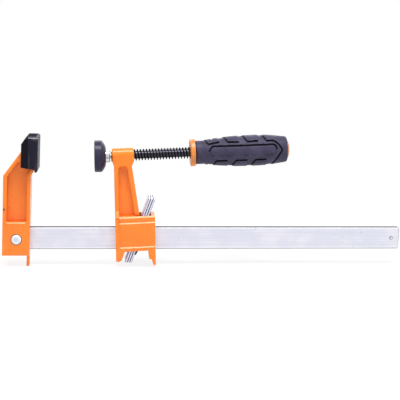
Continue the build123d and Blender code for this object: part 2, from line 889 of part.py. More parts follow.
for piece in (
    bar, fixed_jaw, jaw_rivet, fixed_pad, sliding_jaw, *clutch_plates, clutch_spring,
    screw, ball_tip, swivel_socket, pad_cap, handle_core, handle_grip,
):
    print(piece.part.label, len(piece.part.solids()), round(piece.part.volume))
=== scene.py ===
# %% [markdown]
# # A bar clamp with a sliding screw jaw
#
# The clamp is a flat steel bar with one jaw riveted to its end and a second jaw
# that slides along it, locks by tilting plates, and presses with a screw.
# The imported solids already have the true shapes and places. This lesson lights
# the clamp on a white table, gives its pieces their finishes, and makes four of
# them anew: the threaded screw, the leaf spring, the stepped pad of the
# fixed jaw and the lugged grip of the handle.

import json
import math

import bmesh
import bpy
from mathutils import Matrix, Vector


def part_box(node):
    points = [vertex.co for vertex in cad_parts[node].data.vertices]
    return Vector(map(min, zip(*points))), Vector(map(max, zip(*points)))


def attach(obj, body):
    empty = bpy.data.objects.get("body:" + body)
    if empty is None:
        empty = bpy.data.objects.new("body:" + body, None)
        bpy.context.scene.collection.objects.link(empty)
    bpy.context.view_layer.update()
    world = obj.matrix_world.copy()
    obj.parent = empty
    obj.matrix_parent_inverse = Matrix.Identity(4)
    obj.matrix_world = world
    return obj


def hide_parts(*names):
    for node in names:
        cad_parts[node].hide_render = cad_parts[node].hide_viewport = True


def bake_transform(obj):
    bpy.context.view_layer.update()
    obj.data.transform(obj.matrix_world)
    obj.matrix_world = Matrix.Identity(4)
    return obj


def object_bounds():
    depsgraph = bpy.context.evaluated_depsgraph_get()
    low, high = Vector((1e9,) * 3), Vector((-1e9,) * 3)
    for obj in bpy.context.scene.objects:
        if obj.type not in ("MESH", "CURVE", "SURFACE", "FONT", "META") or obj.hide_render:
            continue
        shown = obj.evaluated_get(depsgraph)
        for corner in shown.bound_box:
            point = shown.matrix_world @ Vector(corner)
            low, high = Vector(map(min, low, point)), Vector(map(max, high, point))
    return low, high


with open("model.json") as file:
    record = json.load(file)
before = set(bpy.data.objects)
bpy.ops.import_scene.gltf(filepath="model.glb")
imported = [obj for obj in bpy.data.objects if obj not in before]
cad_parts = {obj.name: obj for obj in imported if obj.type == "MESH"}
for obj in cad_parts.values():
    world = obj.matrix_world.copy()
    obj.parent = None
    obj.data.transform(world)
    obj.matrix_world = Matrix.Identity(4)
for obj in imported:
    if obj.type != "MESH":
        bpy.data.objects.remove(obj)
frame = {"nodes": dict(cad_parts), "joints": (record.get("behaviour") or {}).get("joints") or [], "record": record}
cad_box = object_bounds()
joints = {joint["name"]: joint for joint in frame["joints"]}
mm = 0.001
print("clamp size in mm:", [round(size / mm, 1) for size in cad_box[1] - cad_box[0]])

# %% [markdown]
# ## The camera
#
# The photograph was taken with a long lens from a little left of the middle and
# from slightly above, so the bar's top shows only as a thin line. The lens is
# given by its focal length in pixels of a 400-pixel picture. The camera's three
# axes are built by hand, because the picture is also rolled by about a degree.

# %% Aim the camera
picture_width = 400
picture_focal = 913.0
sensor_width = 36.0
azimuth = math.radians(-6.0)
elevation = math.radians(10.0)
roll = math.radians(1.25)
aim_point = Vector((180.9, 0.0, -52.5)) * mm
aim_distance = 1041.5 * mm

backwards = Vector((
    math.sin(azimuth) * math.cos(elevation),
    -math.cos(azimuth) * math.cos(elevation),
    math.sin(elevation),
))
level_right = Vector((math.cos(azimuth), math.sin(azimuth), 0.0))
level_up = backwards.cross(level_right)
rolled_right = level_right * math.cos(roll) + level_up * math.sin(roll)
rolled_up = level_up * math.cos(roll) - level_right * math.sin(roll)

lens = bpy.data.cameras.new("studio_camera")
lens.sensor_width = sensor_width
lens.lens = picture_focal * sensor_width / picture_width
camera = bpy.data.objects.new("studio_camera", lens)
turn = Matrix((rolled_right, rolled_up, backwards)).transposed().to_4x4()
camera.matrix_world = Matrix.Translation(aim_point + backwards * aim_distance) @ turn
bpy.context.scene.collection.objects.link(camera)
bpy.context.scene.camera = camera
print("camera lens:", round(lens.lens, 2), "mm")

# %% [markdown]
# ## The white studio
#
# Product pictures are often taken on a sweep of white paper under a large soft
# box. A world that is plain white to the camera and to reflections gives the
# paper's look, while a dimmer world lights the object, so that colours come out
# as they are written. The table is a wide grid. Near the clamp it is real paper
# that takes a shadow, and further out it fades into the white of the world.

# %% Colour the world
def add_ray_switch(nodes, links):
    """A value of 1 for rays that see the background itself, and 0 for rays that carry light."""
    paths = nodes.new("ShaderNodeLightPath")
    seen = None
    for ray in ("Is Camera Ray", "Is Glossy Ray", "Is Transmission Ray"):
        if seen is None:
            seen = paths.outputs[ray]
            continue
        either = nodes.new("ShaderNodeMath")
        either.operation = "MAXIMUM"
        links.new(seen, either.inputs[0])
        links.new(paths.outputs[ray], either.inputs[1])
        seen = either.outputs["Value"]
    return seen


world_light = 0.293
world = bpy.data.worlds.new("white_studio")
world.use_nodes = True
bpy.context.scene.world = world
nodes, links = world.node_tree.nodes, world.node_tree.links
lighting = nodes["Background"]
lighting.inputs["Color"].default_value = (1.0, 1.0, 1.0, 1.0)
lighting.inputs["Strength"].default_value = world_light
backdrop = nodes.new("ShaderNodeBackground")
backdrop.inputs["Color"].default_value = (1.0, 1.0, 1.0, 1.0)
backdrop.inputs["Strength"].default_value = 1.0
choose = nodes.new("ShaderNodeMixShader")
links.new(add_ray_switch(nodes, links), choose.inputs["Fac"])
links.new(lighting.outputs["Background"], choose.inputs[1])
links.new(backdrop.outputs["Background"], choose.inputs[2])
links.new(choose.outputs["Shader"], nodes["World Output"].inputs["Surface"])
bpy.context.scene.view_settings.view_transform = "Standard"
print("world lights with strength", world_light)

# %% Hang the soft boxes
def hang_soft_box(name, place, width, depth, power):
    """A rectangular lamp that faces the middle of the clamp."""
    lamp = bpy.data.lights.new(name, "AREA")
    lamp.shape = "RECTANGLE"
    lamp.size = width
    lamp.size_y = depth
    lamp.energy = power
    soft_box = bpy.data.objects.new(name, lamp)
    soft_box.location = place
    soft_box.rotation_euler = (aim_point - place).to_track_quat("-Z", "Y").to_euler()
    bpy.context.scene.collection.objects.link(soft_box)


# Places and sizes are in metres, powers in watts.
soft_boxes = {
    "top_box": {"place": (0.15, -0.33, 1.05), "width": 1.3, "depth": 0.50, "power": 21.7},
    "front_box": {"place": (-0.35, -1.10, 0.55), "width": 0.8, "depth": 0.8, "power": 1.3},
    "side_box": {"place": (1.00, -0.70, 0.30), "width": 0.7, "depth": 0.7, "power": 1.3},
    "back_box": {"place": (0.15, 1.00, 0.50), "width": 1.4, "depth": 0.5, "power": 4.25},
}
for name, box in soft_boxes.items():
    hang_soft_box(name, Vector(box["place"]), box["width"], box["depth"], box["power"])
print("soft boxes:", [light.name for light in bpy.data.lights])

# %% Lay the table
table_half_width = 6.0
table_cells = 8
shadow_reach = 0.30
white_from = 0.55
white_share = 0.85
paper_white = (0.90, 0.90, 0.90, 1.0)

table_mesh = bpy.data.meshes.new("table")
builder = bmesh.new()
bmesh.ops.create_grid(
    builder, x_segments=table_cells, y_segments=table_cells, size=table_half_width
)
bmesh.ops.translate(builder, verts=builder.verts, vec=(0.0, 0.0, cad_box[0].z))
builder.to_mesh(table_mesh)
builder.free()
table = bpy.data.objects.new("table", table_mesh)
bpy.context.scene.collection.objects.link(table)

paper = bpy.data.materials.new("table_paper")
paper.use_nodes = True
nodes, links = paper.node_tree.nodes, paper.node_tree.links
nodes.remove(nodes["Principled BSDF"])
matte = nodes.new("ShaderNodeBsdfDiffuse")
matte.inputs["Color"].default_value = paper_white
white = nodes.new("ShaderNodeEmission")
white.inputs["Strength"].default_value = 1.0
where = nodes.new("ShaderNodeTexCoord")
reach = nodes.new("ShaderNodeVectorMath")
reach.operation = "DISTANCE"
reach.inputs[1].default_value = (aim_point.x, aim_point.y, cad_box[0].z)
fade = nodes.new("ShaderNodeMapRange")
fade.interpolation_type = "SMOOTHSTEP"
fade.inputs["From Min"].default_value = shadow_reach
fade.inputs["From Max"].default_value = white_from
fade.inputs["To Min"].default_value = white_share
seen_far = nodes.new("ShaderNodeMath")
seen_far.operation = "MULTIPLY"
choose = nodes.new("ShaderNodeMixShader")
links.new(where.outputs["Object"], reach.inputs[0])
links.new(reach.outputs["Value"], fade.inputs["Value"])
links.new(fade.outputs["Result"], seen_far.inputs[0])
links.new(add_ray_switch(nodes, links), seen_far.inputs[1])
links.new(seen_far.outputs["Value"], choose.inputs["Fac"])
links.new(matte.outputs["BSDF"], choose.inputs[1])
links.new(white.outputs["Emission"], choose.inputs[2])
links.new(choose.outputs["Shader"], nodes["Material Output"].inputs["Surface"])
table_mesh.materials.append(paper)
print("table lies at", round(cad_box[0].z / mm, 1), "mm")

# %% [markdown]
# ## Effects that several finishes share
#
# Paint, rubber and plastic all have a fine grain and a slow change of tone, and
# every rolled or sheared piece of steel has streaks along the way it was worked.
# Three more effects tell where something happens: the direction that a face
# looks, the distance from a point, line or plane, and how narrow a corner is,
# where some finishes paint shade.
# Each effect is made once as a node group with named sockets. A group puts out
# only heights, tones, masks and colours, and each material decides what to do
# with them.

# %% Start a node group
def start_group(name, inputs, outputs):
    """An empty shader group with named sockets; inputs give a kind of socket and a first value."""
    group = bpy.data.node_groups.new(name, "ShaderNodeTree")
    for label, (kind, value) in inputs.items():
        socket = group.interface.new_socket(label, in_out="INPUT", socket_type=kind)
        socket.default_value = value
    for label, kind in outputs.items():
        group.interface.new_socket(label, in_out="OUTPUT", socket_type=kind)
    entry = group.nodes.new("NodeGroupInput")
    leave = group.nodes.new("NodeGroupOutput")
    return group, entry, leave


# %% Fine grain
grain_group, entry, leave = start_group(
    "fine_grain",
    {"Scale": ("NodeSocketFloat", 1000.0), "Detail": ("NodeSocketFloat", 3.0)},
    {"Height": "NodeSocketFloat"},
)
nodes, links = grain_group.nodes, grain_group.links
where = nodes.new("ShaderNodeTexCoord")
speckle = nodes.new("ShaderNodeTexNoise")
links.new(where.outputs["Object"], speckle.inputs["Vector"])
links.new(entry.outputs["Scale"], speckle.inputs["Scale"])
links.new(entry.outputs["Detail"], speckle.inputs["Detail"])
links.new(speckle.outputs["Fac"], leave.inputs["Height"])
print("group", grain_group.name)

# %% Slow change of tone
tone_group, entry, leave = start_group(
    "handled_tone",
    {
        "Clean": ("NodeSocketColor", (0.5, 0.5, 0.5, 1.0)),
        "Handled": ("NodeSocketColor", (0.4, 0.4, 0.4, 1.0)),
        "Scale": ("NodeSocketFloat", 60.0),
    },
    {"Color": "NodeSocketColor", "Mask": "NodeSocketFloat"},
)
nodes, links = tone_group.nodes, tone_group.links
where = nodes.new("ShaderNodeTexCoord")
cloud = nodes.new("ShaderNodeTexNoise")
cloud.inputs["Detail"].default_value = 4.0
spread = nodes.new("ShaderNodeMapRange")
spread.interpolation_type = "SMOOTHSTEP"
spread.inputs["From Min"].default_value = 0.35
spread.inputs["From Max"].default_value = 0.70
blend = nodes.new("ShaderNodeMix")
blend.data_type = "RGBA"
links.new(where.outputs["Object"], cloud.inputs["Vector"])
links.new(entry.outputs["Scale"], cloud.inputs["Scale"])
links.new(cloud.outputs["Fac"], spread.inputs["Value"])
links.new(spread.outputs["Result"], blend.inputs["Factor"])
links.new(entry.outputs["Clean"], blend.inputs["A"])
links.new(entry.outputs["Handled"], blend.inputs["B"])
links.new(blend.outputs["Result"], leave.inputs["Color"])
links.new(spread.outputs["Result"], leave.inputs["Mask"])
print("group", tone_group.name)

# %% Streaks of worked steel
streak_group, entry, leave = start_group(
    "worked_streaks",
    {"Stretch": ("NodeSocketVector", (1.0, 1.0, 1.0)), "Scale": ("NodeSocketFloat", 1500.0)},
    {"Height": "NodeSocketFloat", "Tone": "NodeSocketFloat"},
)
nodes, links = streak_group.nodes, streak_group.links
where = nodes.new("ShaderNodeTexCoord")
squeeze = nodes.new("ShaderNodeVectorMath")
squeeze.operation = "MULTIPLY"
streak = nodes.new("ShaderNodeTexNoise")
streak.inputs["Detail"].default_value = 5.0
streak.inputs["Roughness"].default_value = 0.65
spread = nodes.new("ShaderNodeMapRange")
spread.inputs["From Min"].default_value = 0.30
spread.inputs["From Max"].default_value = 0.70
links.new(where.outputs["Object"], squeeze.inputs[0])
links.new(entry.outputs["Stretch"], squeeze.inputs[1])
links.new(squeeze.outputs["Vector"], streak.inputs["Vector"])
links.new(entry.outputs["Scale"], streak.inputs["Scale"])
links.new(streak.outputs["Fac"], leave.inputs["Height"])
links.new(streak.outputs["Fac"], spread.inputs["Value"])
links.new(spread.outputs["Result"], leave.inputs["Tone"])
print("group", streak_group.name)

# %% Direction that a face looks
facing_group, entry, leave = start_group(
    "facing_mask",
    {
        "Axis": ("NodeSocketVector", (0.0, 0.0, 1.0)),
        "Low": ("NodeSocketFloat", 0.3),
        "High": ("NodeSocketFloat", 0.7),
    },
    {"Mask": "NodeSocketFloat"},
)
nodes, links = facing_group.nodes, facing_group.links
where = nodes.new("ShaderNodeTexCoord")
along = nodes.new("ShaderNodeVectorMath")
along.operation = "DOT_PRODUCT"
either_way = nodes.new("ShaderNodeMath")
either_way.operation = "ABSOLUTE"
spread = nodes.new("ShaderNodeMapRange")
spread.interpolation_type = "SMOOTHSTEP"
links.new(where.outputs["Normal"], along.inputs[0])
links.new(entry.outputs["Axis"], along.inputs[1])
links.new(along.outputs["Value"], either_way.inputs[0])
links.new(either_way.outputs["Value"], spread.inputs["Value"])
links.new(entry.outputs["Low"], spread.inputs["From Min"])
links.new(entry.outputs["High"], spread.inputs["From Max"])
links.new(spread.outputs["Result"], leave.inputs["Mask"])
print("group", facing_group.name)

# %% Distance from a point, line or plane
distance_group, entry, leave = start_group(
    "distance_from",
    {"Centre": ("NodeSocketVector", (0.0, 0.0, 0.0)), "Weights": ("NodeSocketVector", (1.0, 1.0, 1.0))},
    {"Distance": "NodeSocketFloat"},
)
nodes, links = distance_group.nodes, distance_group.links
where = nodes.new("ShaderNodeTexCoord")
offset = nodes.new("ShaderNodeVectorMath")
offset.operation = "SUBTRACT"
weigh = nodes.new("ShaderNodeVectorMath")
weigh.operation = "MULTIPLY"
length = nodes.new("ShaderNodeVectorMath")
length.operation = "LENGTH"
links.new(where.outputs["Object"], offset.inputs[0])
links.new(entry.outputs["Centre"], offset.inputs[1])
links.new(offset.outputs["Vector"], weigh.inputs[0])
links.new(entry.outputs["Weights"], weigh.inputs[1])
links.new(weigh.outputs["Vector"], length.inputs[0])
links.new(length.outputs["Value"], leave.inputs["Distance"])
print("group", distance_group.name)

# %% Painted shade in narrow places
cavity_shade_group, entry, leave = start_group(
    "cavity_shade",
    {
        "Reach": ("NodeSocketFloat", 0.002),
        "Clear": ("NodeSocketFloat", 0.85),
        "Filled": ("NodeSocketFloat", 0.45),
    },
    {"Mask": "NodeSocketFloat"},
)
nodes, links = cavity_shade_group.nodes, cavity_shade_group.links
# Ambient occlusion finds narrow places, which the finishes paint darker as shade.
closeness = nodes.new("ShaderNodeAmbientOcclusion")
closeness.samples = 12
spread = nodes.new("ShaderNodeMapRange")
spread.interpolation_type = "SMOOTHSTEP"
links.new(entry.outputs["Reach"], closeness.inputs["Distance"])
links.new(closeness.outputs["AO"], spread.inputs["Value"])
links.new(entry.outputs["Clear"], spread.inputs["From Min"])
links.new(entry.outputs["Filled"], spread.inputs["From Max"])
links.new(spread.outputs["Result"], leave.inputs["Mask"])
print("group", cavity_shade_group.name)

# %% Helpers for every finish
def start_finish(name):
    """A new material with its Principled shader ready."""
    finish = bpy.data.materials.new(name)
    finish.use_nodes = True
    tree = finish.node_tree
    return finish, tree.nodes, tree.links, tree.nodes["Principled BSDF"]


def place_group(nodes, group, values):
    """A group placed in a material, with its own values."""
    placed = nodes.new("ShaderNodeGroup")
    placed.node_tree = group
    for label, value in values.items():
        placed.inputs[label].default_value = value
    return placed


def add_bump(nodes, links, shader, height, strength, depth):
    """Small relief on a surface, from a height that changes over it."""
    bump = nodes.new("ShaderNodeBump")
    bump.inputs["Strength"].default_value = strength
    bump.inputs["Distance"].default_value = depth
    links.new(height, bump.inputs["Height"])
    links.new(bump.outputs["Normal"], shader.inputs["Normal"])


def feed(links, value, socket):
    """Links an output to a socket, or sets the socket to a plain value."""
    if isinstance(value, bpy.types.NodeSocket):
        links.new(value, socket)
        return
    socket.default_value = value


def blend_between(nodes, links, kind, factor, low, high):
    """A value or colour that runs from low to high as the factor runs from 0 to 1."""
    blend = nodes.new("ShaderNodeMix")
    blend.data_type = kind
    feed(links, factor, blend.inputs["Factor"])
    feed(links, low, blend.inputs["A"])
    feed(links, high, blend.inputs["B"])
    return blend.outputs["Result"]


def vary_roughness(nodes, links, shader, factor, low, high):
    """A roughness that runs from low to high as the factor runs from 0 to 1."""
    rough = blend_between(nodes, links, "FLOAT", factor, low, high)
    links.new(rough, shader.inputs["Roughness"])


def step_mask(nodes, links, value, near, far):
    """A mask that falls from 1 to 0 as a value rises from near to far."""
    spread = nodes.new("ShaderNodeMapRange")
    spread.interpolation_type = "SMOOTHSTEP"
    spread.inputs["From Min"].default_value = near
    spread.inputs["From Max"].default_value = far
    spread.inputs["To Min"].default_value = 1.0
    spread.inputs["To Max"].default_value = 0.0
    links.new(value, spread.inputs["Value"])
    return spread.outputs["Result"]


def dress(finish, *names):
    """Gives CAD nodes a finish in place of their plain colour."""
    for name in names:
        frame["nodes"][name].material_slots[0].material = finish
    print(finish.name, "on", ", ".join(names))


# %% [markdown]
# ## Orange enamel on the castings
#
# Both jaws are castings under a thick coat of glossy enamel. The paint follows
# the slight waves of the sand-cast skin and has a faint orange peel of its own,
# while its clear top lies smooth and gives the bright lines on every ledge.
# One small chip on the outer edge of the fixed jaw shows the dark metal below,
# and a dark ring round the rivet's head is a painted shadow of the gap there. Both
# are masks of the distance from a named place, so they stay where they are from any
# side. In narrow corners the enamel is painted darker and redder as shade.

# %% Mix the enamel
enamel_colour = (0.85, 0.203, 0.011, 1.0)
enamel_shade = (0.82, 0.182, 0.010, 1.0)
# The darker, redder colour painted into narrow corners as shade.
enamel_corner_shade = (0.78, 0.125, 0.004, 1.0)
# A dark colour for the chip's bare metal and for the painted shadow ring round the rivet.
bare_metal_and_shadow = (0.030, 0.010, 0.006, 1.0)
chip_place = Vector((-38.0, -11.5, -62.0)) * mm
chip_radius = 1.9 * mm
chip_ragged = 1.4 * mm
rivet_low, rivet_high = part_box("jaw_rivet")
rivet_middle = 0.5 * (rivet_low + rivet_high)
rivet_head = 0.5 * (rivet_high.x - rivet_low.x)
# The painted shadow ring round the rivet's head is this wide.
ring_shadow_width = 0.7 * mm
ring_shadow_radius = rivet_head + ring_shadow_width
soft_edge = 0.05 * mm
# How far the painted shade in corners looks for nearby surfaces.
corner_shade_reach = 2.5 * mm
peel_depth = 0.10 * mm

enamel, nodes, links, shader = start_finish("orange_enamel")
shader.inputs["Coat Weight"].default_value = 0.32
shader.inputs["Coat Roughness"].default_value = 0.09
shader.inputs["Specular IOR Level"].default_value = 0.30
tone = place_group(nodes, tone_group, {"Clean": enamel_colour, "Handled": enamel_shade, "Scale": 45.0})
peel = place_group(nodes, grain_group, {"Scale": 420.0, "Detail": 2.0})
from_chip = place_group(nodes, distance_group, {"Centre": chip_place})
ragged = nodes.new("ShaderNodeMath")
ragged.operation = "MULTIPLY_ADD"
ragged.inputs[1].default_value = chip_ragged
links.new(peel.outputs["Height"], ragged.inputs[0])
links.new(from_chip.outputs["Distance"], ragged.inputs[2])
chip = step_mask(
    nodes, links, ragged.outputs["Value"], chip_radius - soft_edge, chip_radius + soft_edge
)
# The dark ring round the rivet's head is a painted shadow of the gap there.
from_rivet = place_group(nodes, distance_group, {"Centre": rivet_middle, "Weights": (1.0, 0.0, 1.0)})
ring_shadow = step_mask(
    nodes, links, from_rivet.outputs["Distance"], ring_shadow_radius - soft_edge, ring_shadow_radius + soft_edge
)
# Narrow corners of the enamel are painted darker and redder as shade.
corner_shade = place_group(nodes, cavity_shade_group, {"Reach": corner_shade_reach, "Clear": 0.75, "Filled": 0.30})
painted_shade = blend_between(
    nodes, links, "RGBA", corner_shade.outputs["Mask"], tone.outputs["Color"], enamel_corner_shade
)
chipped = blend_between(nodes, links, "RGBA", chip, painted_shade, bare_metal_and_shadow)
painted = blend_between(nodes, links, "RGBA", ring_shadow, chipped, bare_metal_and_shadow)
links.new(painted, shader.inputs["Base Color"])
vary_roughness(nodes, links, shader, tone.outputs["Mask"], 0.24, 0.32)
add_bump(nodes, links, shader, peel.outputs["Height"], 0.03, peel_depth)
dress(enamel, "fixed_jaw", "sliding_jaw")

# %% [markdown]
# ## Zinc-plated bar
#
# The bar is drawn flat steel with a bright plated finish, slightly cool in tone.
# Drawing leaves long faint streaks along it, hands wipe paler patches into it,
# a strip along each long edge is a painted highlight, and a few dark specks remain.
# Its narrow edges and its ends are duller than its wide faces and are painted
# darker as shade, and its underside is painted darker as shade too. The edges and
# ends are found by the direction that the surface faces, and the strips and the
# underside by their distance, all in the bar's own frame.

# %% Plate the bar
bar_bright = (0.70, 0.705, 0.805, 1.0)
bar_dull = (0.64, 0.645, 0.74, 1.0)
bar_wiped = (0.86, 0.835, 0.89, 1.0)
# A pale colour painted along each long edge of the wide faces as a highlight.
bar_painted_highlight = (0.80, 0.80, 0.87, 1.0)
# A dark colour painted on the narrow edges, the ends and the underside as shade.
bar_edge_shade = (0.080, 0.080, 0.088, 1.0)
bar_speck = (0.42, 0.42, 0.48, 1.0)
bar_low, bar_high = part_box("bar")
bar_middle = 0.5 * (bar_low + bar_high)
half_height = 0.5 * (bar_high.z - bar_low.z)
# The painted highlight strip along each long edge is this wide.
highlight_width = 2.6 * mm
highlight_fade = 0.7 * mm
highlight_from = half_height - highlight_width
# The underside is painted darker as shade up to this height.
underside_shade_from = 0.55 * mm
underside_shade_to = 1.05 * mm
streak_depth = 0.02 * mm

plating, nodes, links, shader = start_finish("plated_bar")
shader.inputs["Specular IOR Level"].default_value = 0.10
streaks = place_group(nodes, streak_group, {"Stretch": (0.012, 1.0, 1.0), "Scale": 620.0})
specks = place_group(nodes, grain_group, {"Scale": 320.0, "Detail": 1.0})
edge = place_group(nodes, facing_group, {"Axis": (0.0, 0.0, 1.0), "Low": 0.48, "High": 0.78})
end = place_group(nodes, facing_group, {"Axis": (1.0, 0.0, 0.0), "Low": 0.22, "High": 0.48})
# The narrow edges and the ends are painted darker as shade.
edge_and_end_shade = nodes.new("ShaderNodeMath")
edge_and_end_shade.operation = "MAXIMUM"
links.new(edge.outputs["Mask"], edge_and_end_shade.inputs[0])
links.new(end.outputs["Mask"], edge_and_end_shade.inputs[1])
underside = place_group(nodes, distance_group, {"Centre": bar_low, "Weights": (0.0, 0.0, 1.0)})
painted_shade = nodes.new("ShaderNodeMath")
painted_shade.operation = "MAXIMUM"
links.new(edge_and_end_shade.outputs["Value"], painted_shade.inputs[0])
# The underside is painted darker as shade.
underside_shade = step_mask(nodes, links, underside.outputs["Distance"], underside_shade_from, underside_shade_to)
links.new(underside_shade, painted_shade.inputs[1])
height = place_group(nodes, distance_group, {"Centre": bar_middle, "Weights": (0.0, 0.0, 1.0)})
patches = place_group(nodes, tone_group, {"Clean": bar_bright, "Handled": bar_wiped, "Scale": 38.0})
drawn = blend_between(nodes, links, "RGBA", streaks.outputs["Tone"], bar_dull, patches.outputs["Color"])
# A painted highlight strip runs along each long edge.
below_highlight = step_mask(nodes, links, height.outputs["Distance"], highlight_from, highlight_from + highlight_fade)
highlighted = blend_between(nodes, links, "RGBA", below_highlight, bar_painted_highlight, drawn)
clear = step_mask(nodes, links, specks.outputs["Height"], 0.71, 0.78)
marked = blend_between(nodes, links, "RGBA", clear, bar_speck, highlighted)
# Edges, ends and underside get their painted shade here.
shaded_bar = blend_between(nodes, links, "RGBA", painted_shade.outputs["Value"], marked, bar_edge_shade)
polish = blend_between(nodes, links, "FLOAT", streaks.outputs["Tone"], 0.40, 0.30)
links.new(shaded_bar, shader.inputs["Base Color"])
vary_roughness(nodes, links, shader, painted_shade.outputs["Value"], polish, 0.75)
metal = blend_between(nodes, links, "FLOAT", painted_shade.outputs["Value"], 0.75, 0.0)
links.new(metal, shader.inputs["Metallic"])
add_bump(nodes, links, shader, streaks.outputs["Height"], 0.06, streak_depth)
dress(plating, "bar")

# %% [markdown]
# ## Sheared clutch plates
#
# The three plates are stamped from thick sheet and plated. Their broad sides are
# hidden in the head, and the narrow sheared sides show, with streaks that run
# through the thickness of the sheet. The broken edges, where one plate meets the
# next, are painted dark as the shade in the gap between plates. Those edges lie
# halfway between the narrow side and the broad one, so the direction of the face finds them.

# %% Plate the clutch plates
plate_lean = math.radians(19.5)
plate_across = (math.cos(plate_lean), 0.0, -math.sin(plate_lean))
plate_bright = (0.80, 0.795, 0.93, 1.0)
plate_dull = (0.61, 0.605, 0.735, 1.0)
# The dark colour painted on the broken edges as the shade in the gaps.
plate_gap_shade = (0.10, 0.097, 0.115, 1.0)
shear_depth = 0.04 * mm

sheared, nodes, links, shader = start_finish("sheared_plate")
streaks = place_group(nodes, streak_group, {"Stretch": (1.0, 0.15, 0.35), "Scale": 700.0})
# The broken edges between plates are painted dark as the shade in the gap.
joint = place_group(nodes, facing_group, {"Axis": plate_across, "Low": 0.35, "High": 0.60})
broad = place_group(nodes, facing_group, {"Axis": plate_across, "Low": 0.80, "High": 0.95})
cut = blend_between(nodes, links, "RGBA", streaks.outputs["Tone"], plate_dull, plate_bright)
# The gap shade is painted onto the broken edges here.
oiled = blend_between(nodes, links, "RGBA", joint.outputs["Mask"], cut, plate_gap_shade)
stamped = blend_between(nodes, links, "RGBA", broad.outputs["Mask"], oiled, cut)
links.new(stamped, shader.inputs["Base Color"])
vary_roughness(nodes, links, shader, streaks.outputs["Tone"], 0.45, 0.30)
shader.inputs["Metallic"].default_value = 0.80
add_bump(nodes, links, shader, streaks.outputs["Height"], 0.20, shear_depth)
dress(sheared, "clutch_plate_1", "clutch_plate_2", "clutch_plate_3")

# %% [markdown]
# ## Rivet and socket
#
# The rivet's head was pressed by a die, which leaves a fine matte skin and a
# cooler, duller dimple in the middle. The socket of the swivel is drawn from bright
# sheet, and the dark streaks along its neck are partly drawing streaks and partly
# painted dark reflections. Both are plated steel with different streaks, so one
# function makes the streaked steel, and the rivet adds its dimple by the distance from its axis.

# %% Polish the bright steel pieces
skin_depth = 0.03 * mm


def start_bright_steel(name, bright, dull, stretch, scale, smooth, rough):
    """Plated steel with streaks of two tones; the colour is returned for further work."""
    steel, nodes, links, shader = start_finish(name)
    streaks = place_group(nodes, streak_group, {"Stretch": stretch, "Scale": scale})
    colour = blend_between(nodes, links, "RGBA", streaks.outputs["Tone"], dull, bright)
    links.new(colour, shader.inputs["Base Color"])
    vary_roughness(nodes, links, shader, streaks.outputs["Tone"], rough, smooth)
    shader.inputs["Metallic"].default_value = 0.9
    add_bump(nodes, links, shader, streaks.outputs["Height"], 0.12, skin_depth)
    return steel, nodes, links, shader, colour


rivet_bright = (0.86, 0.86, 0.90, 1.0)
rivet_dull = (0.74, 0.74, 0.79, 1.0)
dimple_colour = (0.60, 0.68, 0.78, 1.0)
dimple_radius = 2.55 * mm
dimple_fade = 0.30 * mm
dimple_from = dimple_radius - dimple_fade
dimple_to = dimple_radius + dimple_fade
pressed, nodes, links, shader, colour = start_bright_steel(
    "pressed_rivet", rivet_bright, rivet_dull, (1.0, 1.0, 1.0), 1200.0, 0.30, 0.46
)
from_rivet = place_group(nodes, distance_group, {"Centre": rivet_middle, "Weights": (1.0, 0.0, 1.0)})
dimple = step_mask(nodes, links, from_rivet.outputs["Distance"], dimple_from, dimple_to)
dimpled = blend_between(nodes, links, "RGBA", dimple, colour, dimple_colour)
links.new(dimpled, shader.inputs["Base Color"])
dress(pressed, "jaw_rivet")

drawn_bright = (0.92, 0.92, 0.94, 1.0)
# The dark streak colour of the socket is partly drawing streaks and partly painted dark reflections.
drawn_streaks_and_reflection = (0.10, 0.09, 0.10, 1.0)
drawn_socket = start_bright_steel(
    "drawn_socket", drawn_bright, drawn_streaks_and_reflection, (0.05, 1.0, 1.0), 430.0, 0.18, 0.30
)[0]
dress(drawn_socket, "swivel_socket", "ball_tip")

# %% [markdown]
# ## Black moulded caps
#
# The caps on both jaws are a tough black plastic with a faint blue cast, and the
# mould was spark-eroded, so the skin has a very fine even grain that spreads the
# highlights. Handling polishes it in slow patches, the work gives the clamping face
# a gloss of its own, and the seams are painted dark as shade. The fixed jaw's cap has
# glossy upper edges, a dull roof painted darker as shade, and a sleeve behind its
# clamping plate painted darker as shade. The swivel's cap is plainer, so one function
# makes both from tables of colours and of gloss.

# %% Mould the caps
plate_depth = 10.4 * mm
plate_fade = 0.3 * mm
# How far the painted shade in seams and steps looks for nearby surfaces.
seam_shade_reach = 1.6 * mm
erosion_depth = 0.05 * mm


